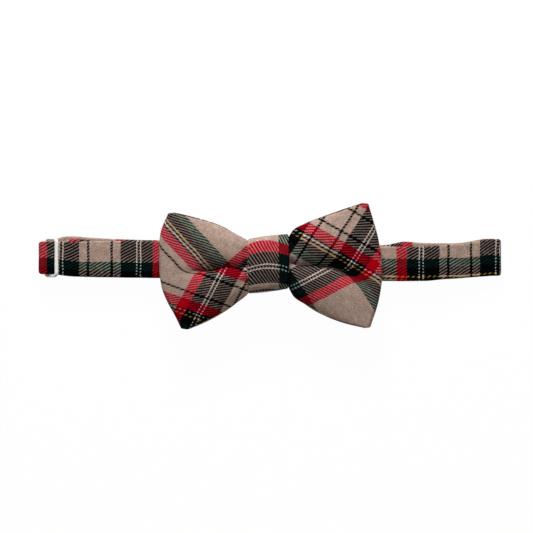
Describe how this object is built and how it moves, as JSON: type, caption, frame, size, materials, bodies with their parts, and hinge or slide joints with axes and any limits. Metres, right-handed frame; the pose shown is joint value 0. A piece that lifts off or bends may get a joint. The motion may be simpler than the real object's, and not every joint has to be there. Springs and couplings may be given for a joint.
{
  "type": "bow tie",
  "caption": "Pre-tied bow tie in plaid flannel on an adjustable neck band with a slide ring and a hook and eye, laid flat.",
  "frame": {"origin": "middle of the flat-laid tie's footprint, on the surface it lies on", "axes": "+X along the neck band to the right as seen from the front, +Y towards the top edge, +Z out of the bow's front"},
  "size_m": [0.232, 0.0636, 0.0212],
  "materials": {
    "plaid_flannel": "brushed cotton flannel in a camel-ground tartan of red, black, green, white and yellow",
    "lining": "matte non-woven interlining",
    "thread": "matte polyester sewing thread",
    "white_metal": "glossy white coating"
  },
  "bodies": {
    "band": {"band_front": "plaid_flannel", "band_rear_left": "plaid_flannel", "band_inner": "plaid_flannel", "band_rear_right": "plaid_flannel"},
    "slider": {"band_left_turn": "plaid_flannel", "band_slider_end": "plaid_flannel", "slider_end_bartack": "thread"},
    "slide_ring": {"slide_ring": "white_metal"},
    "closure": {"band_eye_turn": "plaid_flannel", "eye_ring": "white_metal", "band_hook_end": "plaid_flannel", "hook_end_bartack": "thread"},
    "hook": {"hook": "white_metal"},
    "right_turn": {"band_right_turn": "plaid_flannel"},
    "bow": {"left_wing_cover": "plaid_flannel", "left_wing_facing": "plaid_flannel", "right_wing_cover": "plaid_flannel", "right_wing_facing": "plaid_flannel", "knot": "plaid_flannel", "left_wing_lining": "lining", "right_wing_lining": "lining", "knot_lining": "lining", "binding_thread": "thread"}
  },
  "joints": [
    {"name": "length_adjust", "type": "slide", "parent": "band", "child": "slider", "axis": [-1, 0, 0], "range_m": [-0.012, 0.012], "deforming": ["band_front", "band_rear_left", "band_inner", "band_rear_right"]},
    {"name": "closure_travel", "type": "slide", "parent": "band", "child": "closure", "axis": [-1, 0, 0], "range_m": [-0.018, 0.018], "deforming": ["band_front", "band_rear_left", "band_inner", "band_rear_right"]},
    {"name": "right_turn_travel", "type": "slide", "parent": "band", "child": "right_turn", "axis": [-1, 0, 0], "range_m": [-0.009, 0.009], "deforming": ["band_front", "band_rear_left", "band_inner", "band_rear_right"]},
    {"name": "ring_flip", "type": "hinge", "parent": "slider", "child": "slide_ring", "pos_m": [-0.1123, 0.0041, 0.0037], "axis": [0, -1, 0], "range_deg": [0, 150]},
    {"name": "hook_swing", "type": "hinge", "parent": "closure", "child": "hook", "pos_m": [0.0525, 0.0024, 0.0023], "axis": [0, 1, 0], "range_deg": [0, 12]},
    {"name": "bow_slide", "type": "slide", "parent": "band", "child": "bow", "axis": [1, 0, 0], "range_m": [-0.008, 0.008]}
  ],
  "couplings": [
    {"joint": "closure_travel", "follows": "length_adjust", "ratio": 1.5},
    {"joint": "right_turn_travel", "follows": "length_adjust", "ratio": 0.75}
  ]
}
